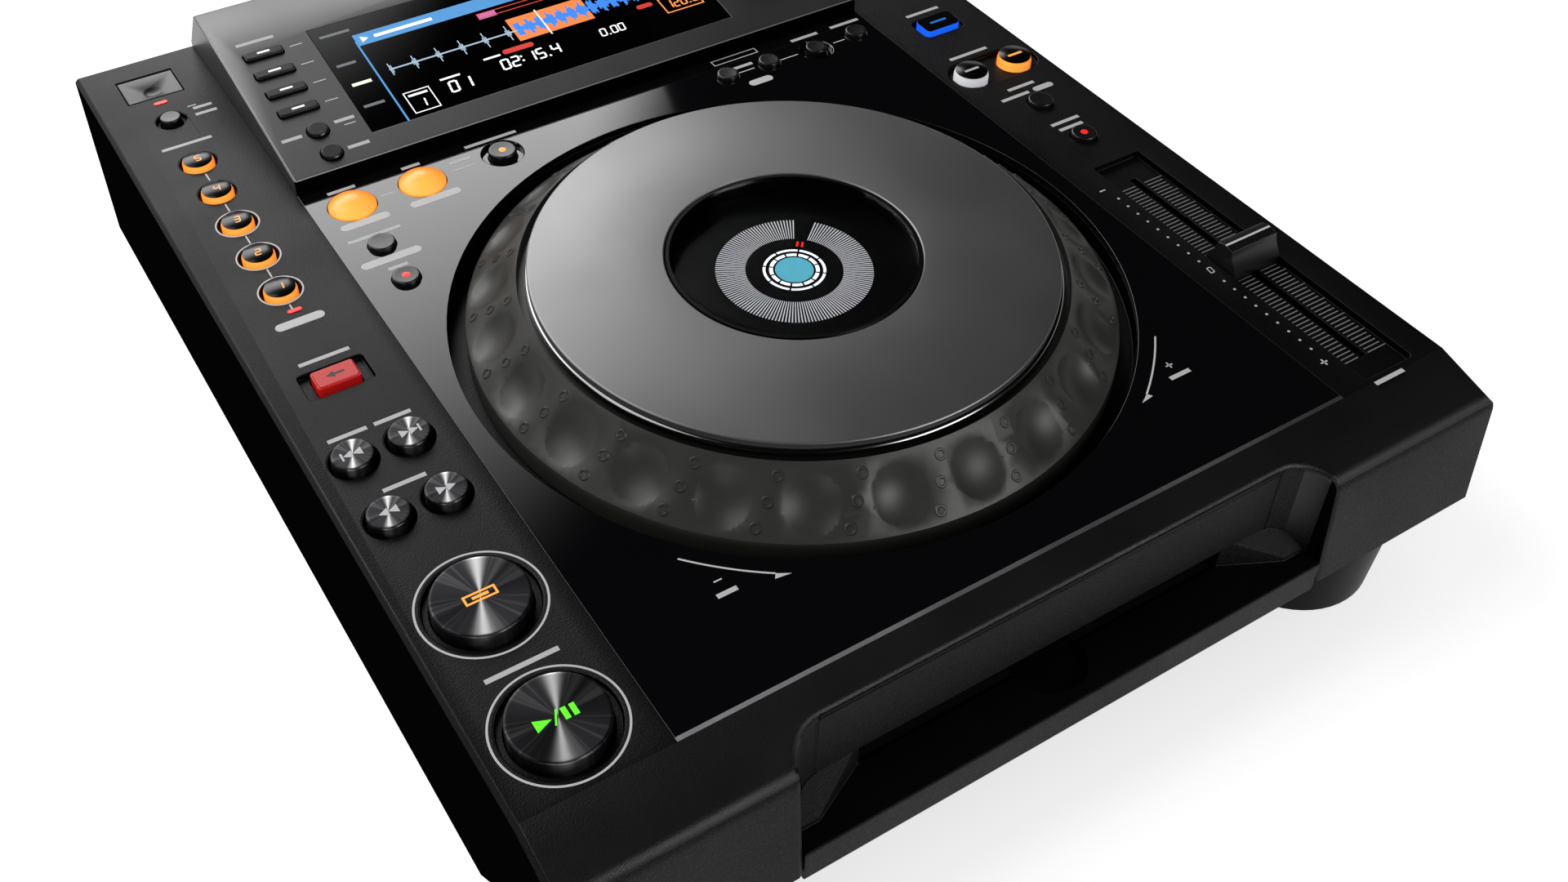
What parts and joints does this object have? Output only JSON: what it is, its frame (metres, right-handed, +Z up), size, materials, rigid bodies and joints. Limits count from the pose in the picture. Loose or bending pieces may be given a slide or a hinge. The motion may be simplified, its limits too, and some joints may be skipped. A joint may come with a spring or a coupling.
{
  "type": "tabletop dj disc player",
  "caption": "Tabletop disc player for DJ use: slot-loading body with a turning jog wheel, tempo fader, sloping display and sprung keys.",
  "frame": {"origin": "on the table, under the middle of the body's width and depth", "axes": "+X to the player's right, +Y from the front edge to the sockets, +Z up"},
  "size_m": [0.305, 0.372, 0.1018],
  "materials": {
    "case": "fine-grained black",
    "plate": "polished black",
    "display_frame": "satin gunmetal",
    "trim": "bright satin",
    "glass": "clear, polished",
    "dial": "satin dark grey",
    "touch_plate": "satin silver grey",
    "rubber": "matte black",
    "key_metal": "spun, dark anodised",
    "key_black": "black",
    "key_amber": "translucent amber",
    "key_red": "satin red",
    "socket": "black",
    "steel": "plain sheet",
    "board": "green"
  },
  "bodies": {
    "base": {"top_case": "case", "base_tray": "steel", "deck_plate": "plate", "trim_strip": "trim", "front_bezel": "case", "display_housing": "display_frame", "display_window": "glass", "feet": "rubber", "rear_panel": "case", "sockets": "socket", "jog_hub": "case", "jog_display": "glass", "jog_bearing": "steel", "fader_body": "socket", "circuit_boards": "board", "drive_frame": "steel", "screws": "steel"},
    "jog_wheel": {"jog_dial": "dial"},
    "touch_plate": {"touch_plate": "touch_plate"},
    "tempo_fader": {"tempo_fader": "key_black"},
    "usb_cover": {"usb_cover": "case"},
    "selector_knob": {"selector_knob": "key_black"},
    "play_key": {"play_key": "key_metal"},
    "cue_key": {"cue_key": "key_metal"},
    "search_back_key": {"search_back_key": "key_metal"},
    "search_forward_key": {"search_forward_key": "key_metal"},
    "track_back_key": {"track_back_key": "key_metal"},
    "track_forward_key": {"track_forward_key": "key_metal"},
    "reverse_key": {"reverse_key": "key_red"},
    "beat_key_1": {"beat_key_1": "key_amber"},
    "beat_key_2": {"beat_key_2": "key_amber"},
    "beat_key_3": {"beat_key_3": "key_amber"},
    "beat_key_4": {"beat_key_4": "key_amber"},
    "beat_key_5": {"beat_key_5": "key_amber"},
    "loop_in_key": {"loop_in_key": "key_amber"},
    "loop_out_key": {"loop_out_key": "key_amber"},
    "reloop_key": {"reloop_key": "key_black"},
    "four_beat_key": {"four_beat_key": "key_black"},
    "slip_key": {"slip_key": "key_black"},
    "power_switch": {"power_switch": "key_black"},
    "turntable": {"turntable": "socket"},
    "pickup_sled": {"pickup_sled": "steel"},
    "loading_roller": {"loading_roller": "rubber"},
    "call_back_key": {"call_back_key": "key_black"},
    "call_forward_key": {"call_forward_key": "key_black"},
    "delete_key": {"delete_key": "key_black"},
    "memory_key": {"memory_key": "key_black"},
    "usb_stop_key": {"usb_stop_key": "key_black"},
    "jog_mode_key": {"jog_mode_key": "key_black"},
    "sync_key": {"sync_key": "key_black"},
    "master_key": {"master_key": "key_black"},
    "tempo_range_key": {"tempo_range_key": "key_black"},
    "master_tempo_key": {"master_tempo_key": "key_black"},
    "eject_key": {"eject_key": "key_black"},
    "side_key_1": {"side_key_1": "key_black"},
    "side_key_2": {"side_key_2": "key_black"},
    "side_key_3": {"side_key_3": "key_black"},
    "side_key_4": {"side_key_4": "key_black"},
    "time_key": {"time_key": "key_black"},
    "quantize_key": {"quantize_key": "key_black"}
  },
  "joints": [
    {"name": "jog_spin", "type": "hinge", "parent": "base", "child": "jog_wheel", "pos_m": [0, -0.043, 0.0765], "axis": [0, 0, 1], "continuous": true},
    {"name": "touch_press", "type": "slide", "parent": "jog_wheel", "child": "touch_plate", "axis": [0, 0, -1], "range_m": [0, 0.0004], "stiffness_N_per_m": 4000, "springref_m": -0.0006},
    {"name": "tempo_slide", "type": "slide", "parent": "base", "child": "tempo_fader", "axis": [0, 1, 0], "range_m": [-0.048, 0.048]},
    {"name": "usb_cover_lift", "type": "hinge", "parent": "base", "child": "usb_cover", "pos_m": [-0.13125, 0.1743, 0.0755], "axis": [-1, 0, 0], "range_deg": [0, 95]},
    {"name": "selector_turn", "type": "hinge", "parent": "base", "child": "selector_knob", "pos_m": [0.088, 0.12573, 0.08864], "axis": [0, -0.1587, 0.9873], "continuous": true},
    {"name": "play_press", "type": "slide", "parent": "base", "child": "play_key", "axis": [0, 0, -1], "range_m": [0, 0.0015], "stiffness_N_per_m": 300, "springref_m": -0.001},
    {"name": "cue_press", "type": "slide", "parent": "base", "child": "cue_key", "axis": [0, 0, -1], "range_m": [0, 0.0015], "stiffness_N_per_m": 300, "springref_m": -0.001},
    {"name": "search_back_press", "type": "slide", "parent": "base", "child": "search_back_key", "axis": [0, 0, -1], "range_m": [0, 0.0015], "stiffness_N_per_m": 300, "springref_m": -0.001},
    {"name": "search_forward_press", "type": "slide", "parent": "base", "child": "search_forward_key", "axis": [0, 0, -1], "range_m": [0, 0.0015], "stiffness_N_per_m": 300, "springref_m": -0.001},
    {"name": "track_back_press", "type": "slide", "parent": "base", "child": "track_back_key", "axis": [0, 0, -1], "range_m": [0, 0.0015], "stiffness_N_per_m": 300, "springref_m": -0.001},
    {"name": "track_forward_press", "type": "slide", "parent": "base", "child": "track_forward_key", "axis": [0, 0, -1], "range_m": [0, 0.0015], "stiffness_N_per_m": 300, "springref_m": -0.001},
    {"name": "reverse_press", "type": "slide", "parent": "base", "child": "reverse_key", "axis": [0, 0, -1], "range_m": [0, 0.0015], "stiffness_N_per_m": 300, "springref_m": -0.001},
    {"name": "beat_1_press", "type": "slide", "parent": "base", "child": "beat_key_1", "axis": [0, 0, -1], "range_m": [0, 0.0015], "stiffness_N_per_m": 300, "springref_m": -0.001},
    {"name": "beat_2_press", "type": "slide", "parent": "base", "child": "beat_key_2", "axis": [0, 0, -1], "range_m": [0, 0.0015], "stiffness_N_per_m": 300, "springref_m": -0.001},
    {"name": "beat_3_press", "type": "slide", "parent": "base", "child": "beat_key_3", "axis": [0, 0, -1], "range_m": [0, 0.0015], "stiffness_N_per_m": 300, "springref_m": -0.001},
    {"name": "beat_4_press", "type": "slide", "parent": "base", "child": "beat_key_4", "axis": [0, 0, -1], "range_m": [0, 0.0015], "stiffness_N_per_m": 300, "springref_m": -0.001},
    {"name": "beat_5_press", "type": "slide", "parent": "base", "child": "beat_key_5", "axis": [0, 0, -1], "range_m": [0, 0.0015], "stiffness_N_per_m": 300, "springref_m": -0.001},
    {"name": "loop_in_press", "type": "slide", "parent": "base", "child": "loop_in_key", "axis": [0, 0, -1], "range_m": [0, 0.0015], "stiffness_N_per_m": 300, "springref_m": -0.001},
    {"name": "loop_out_press", "type": "slide", "parent": "base", "child": "loop_out_key", "axis": [0, 0, -1], "range_m": [0, 0.0015], "stiffness_N_per_m": 300, "springref_m": -0.001},
    {"name": "reloop_press", "type": "slide", "parent": "base", "child": "reloop_key", "axis": [0, 0, -1], "range_m": [0, 0.0015], "stiffness_N_per_m": 300, "springref_m": -0.001},
    {"name": "four_beat_press", "type": "slide", "parent": "base", "child": "four_beat_key", "axis": [0, 0, -1], "range_m": [0, 0.0015], "stiffness_N_per_m": 300, "springref_m": -0.001},
    {"name": "slip_press", "type": "slide", "parent": "base", "child": "slip_key", "axis": [0, 0, -1], "range_m": [0, 0.0015], "stiffness_N_per_m": 300, "springref_m": -0.001},
    {"name": "power_rock", "type": "hinge", "parent": "base", "child": "power_switch", "pos_m": [0.078, 0.1735, 0.032], "axis": [-1, 0, 0], "range_deg": [0, 14]},
    {"name": "turntable_spin", "type": "hinge", "parent": "base", "child": "turntable", "pos_m": [0, -0.085, 0.043], "axis": [0, 0, 1], "continuous": true},
    {"name": "sled_slide", "type": "slide", "parent": "base", "child": "pickup_sled", "axis": [0, 1, 0], "range_m": [0, 0.03]},
    {"name": "roller_spin", "type": "hinge", "parent": "base", "child": "loading_roller", "pos_m": [0, -0.142, 0.0407], "axis": [1, 0, 0], "continuous": true},
    {"name": "call_back_press", "type": "slide", "parent": "base", "child": "call_back_key", "axis": [0, 0, -1], "range_m": [0, 0.0015], "stiffness_N_per_m": 300, "springref_m": -0.001},
    {"name": "call_forward_press", "type": "slide", "parent": "base", "child": "call_forward_key", "axis": [0, 0, -1], "range_m": [0, 0.0015], "stiffness_N_per_m": 300, "springref_m": -0.001},
    {"name": "delete_press", "type": "slide", "parent": "base", "child": "delete_key", "axis": [0, 0, -1], "range_m": [0, 0.0015], "stiffness_N_per_m": 300, "springref_m": -0.001},
    {"name": "memory_press", "type": "slide", "parent": "base", "child": "memory_key", "axis": [0, 0, -1], "range_m": [0, 0.0015], "stiffness_N_per_m": 300, "springref_m": -0.001},
    {"name": "usb_stop_press", "type": "slide", "parent": "base", "child": "usb_stop_key", "axis": [0, 0, -1], "range_m": [0, 0.0015], "stiffness_N_per_m": 300, "springref_m": -0.001},
    {"name": "jog_mode_press", "type": "slide", "parent": "base", "child": "jog_mode_key", "axis": [0, 0, -1], "range_m": [0, 0.0015], "stiffness_N_per_m": 300, "springref_m": -0.001},
    {"name": "sync_press", "type": "slide", "parent": "base", "child": "sync_key", "axis": [0, 0, -1], "range_m": [0, 0.0015], "stiffness_N_per_m": 300, "springref_m": -0.001},
    {"name": "master_press", "type": "slide", "parent": "base", "child": "master_key", "axis": [0, 0, -1], "range_m": [0, 0.0015], "stiffness_N_per_m": 300, "springref_m": -0.001},
    {"name": "tempo_range_press", "type": "slide", "parent": "base", "child": "tempo_range_key", "axis": [0, 0, -1], "range_m": [0, 0.0015], "stiffness_N_per_m": 300, "springref_m": -0.001},
    {"name": "master_tempo_press", "type": "slide", "parent": "base", "child": "master_tempo_key", "axis": [0, 0, -1], "range_m": [0, 0.0015], "stiffness_N_per_m": 300, "springref_m": -0.001},
    {"name": "eject_press", "type": "slide", "parent": "base", "child": "eject_key", "axis": [0, 0, -1], "range_m": [0, 0.0015], "stiffness_N_per_m": 300, "springref_m": -0.001},
    {"name": "side_1_press", "type": "slide", "parent": "base", "child": "side_key_1", "axis": [0, 0.1587, -0.9873], "range_m": [0, 0.0015], "stiffness_N_per_m": 300, "springref_m": -0.001},
    {"name": "side_2_press", "type": "slide", "parent": "base", "child": "side_key_2", "axis": [0, 0.1587, -0.9873], "range_m": [0, 0.0015], "stiffness_N_per_m": 300, "springref_m": -0.001},
    {"name": "side_3_press", "type": "slide", "parent": "base", "child": "side_key_3", "axis": [0, 0.1587, -0.9873], "range_m": [0, 0.0015], "stiffness_N_per_m": 300, "springref_m": -0.001},
    {"name": "side_4_press", "type": "slide", "parent": "base", "child": "side_key_4", "axis": [0, 0.1587, -0.9873], "range_m": [0, 0.0015], "stiffness_N_per_m": 300, "springref_m": -0.001},
    {"name": "time_press", "type": "slide", "parent": "base", "child": "time_key", "axis": [0, 0.1587, -0.9873], "range_m": [0, 0.0015], "stiffness_N_per_m": 300, "springref_m": -0.001},
    {"name": "quantize_press", "type": "slide", "parent": "base", "child": "quantize_key", "axis": [0, 0.1587, -0.9873], "range_m": [0, 0.0015], "stiffness_N_per_m": 300, "springref_m": -0.001}
  ]
}
